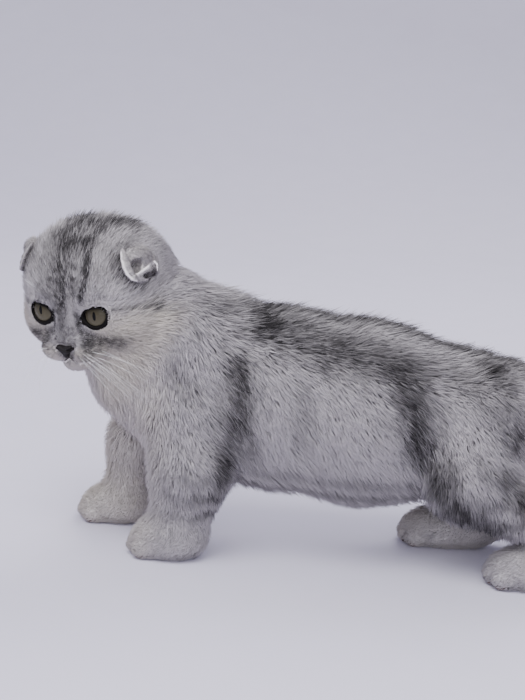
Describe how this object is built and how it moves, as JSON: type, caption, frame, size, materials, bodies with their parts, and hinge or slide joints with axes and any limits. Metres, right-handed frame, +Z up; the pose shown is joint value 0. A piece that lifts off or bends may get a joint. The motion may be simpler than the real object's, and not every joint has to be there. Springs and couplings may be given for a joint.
{
  "type": "scottish_fold_kitten",
  "caption": "A still, life-size Scottish Fold kitten with a plush silver tabby coat and small folded ears, standing in a slight crouch with its head turned to its left.",
  "frame": {"origin": "On the floor under the middle of the kitten's bounding box.", "axes": "+X runs from the head towards the tail, +Y is towards the kitten's right side, +Z is up."},
  "size_m": [0.3468, 0.0852, 0.1571],
  "materials": {
    "coat": "plush silver tabby fur",
    "nose_leather": "damp, finely pebbled skin",
    "eye": "clear, wet gloss over a grey-olive iris",
    "claw": "smooth translucent horn",
    "whisker": "smooth white hair"
  },
  "bodies": {
    "root": {"head": "coat", "nose": "nose_leather", "eye_left": "eye", "eye_right": "eye", "ear_left": "coat", "ear_right": "coat", "neck": "coat", "chest": "coat", "belly": "coat", "rump": "coat", "foreleg_left_upper": "coat", "foreleg_left_lower": "coat", "forepaw_left": "coat", "foreleg_right_upper": "coat", "foreleg_right_lower": "coat", "forepaw_right": "coat", "hindleg_left_thigh": "coat", "hindleg_left_shank": "coat", "hindpaw_left": "coat", "hindleg_right_thigh": "coat", "hindleg_right_shank": "coat", "hindpaw_right": "coat", "tail_base": "coat", "tail_middle": "coat", "tail_tip": "coat"}
  },
  "joints": []
}
